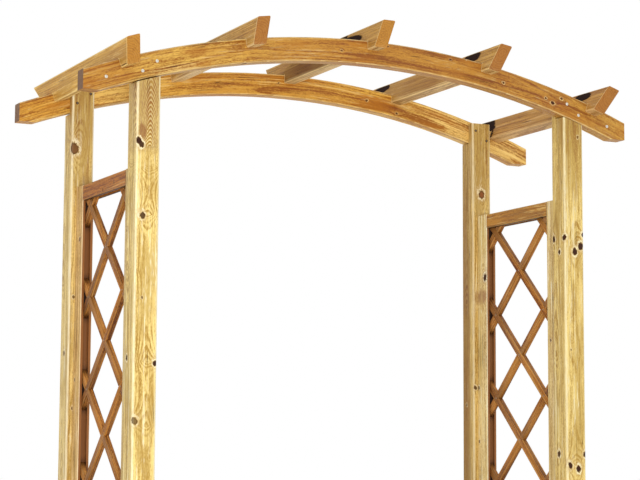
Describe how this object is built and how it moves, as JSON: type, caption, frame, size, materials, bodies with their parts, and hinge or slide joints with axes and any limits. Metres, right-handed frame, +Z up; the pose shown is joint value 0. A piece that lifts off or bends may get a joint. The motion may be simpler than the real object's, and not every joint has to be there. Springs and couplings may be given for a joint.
{
  "type": "rose arch",
  "caption": "Free-standing timber garden arch with curved beams housed in square posts, notched rafters and lattice side panels",
  "frame": {"origin": "ground level in the middle of the four posts", "axes": "+X across the walkway to the right, +Y from the front to the back, +Z up"},
  "size_m": [1.784, 0.806, 2.243],
  "materials": {
    "post_pine": "planed, pressure treated, yellow-green",
    "beam_pine": "planed, pressure treated, orange-brown",
    "rafter_pine": "planed, pressure treated, orange-brown",
    "panel_pine": "planed, pressure treated, brown",
    "lattice_pine": "planed slats, pressure treated, red-brown"
  },
  "bodies": {
    "root": {"post_front_left": "post_pine", "post_front_right": "post_pine", "post_back_left": "post_pine", "post_back_right": "post_pine", "beam_front": "beam_pine", "beam_back": "beam_pine", "rafter_1": "rafter_pine", "rafter_2": "rafter_pine", "rafter_3": "rafter_pine", "rafter_4": "rafter_pine", "rafter_5": "rafter_pine", "stile_left_front": "panel_pine", "stile_left_back": "panel_pine", "rail_left_top": "panel_pine", "rail_left_bottom": "panel_pine", "lattice_left": "lattice_pine", "stile_right_front": "panel_pine", "stile_right_back": "panel_pine", "rail_right_top": "panel_pine", "rail_right_bottom": "panel_pine", "lattice_right": "lattice_pine"}
  },
  "joints": []
}
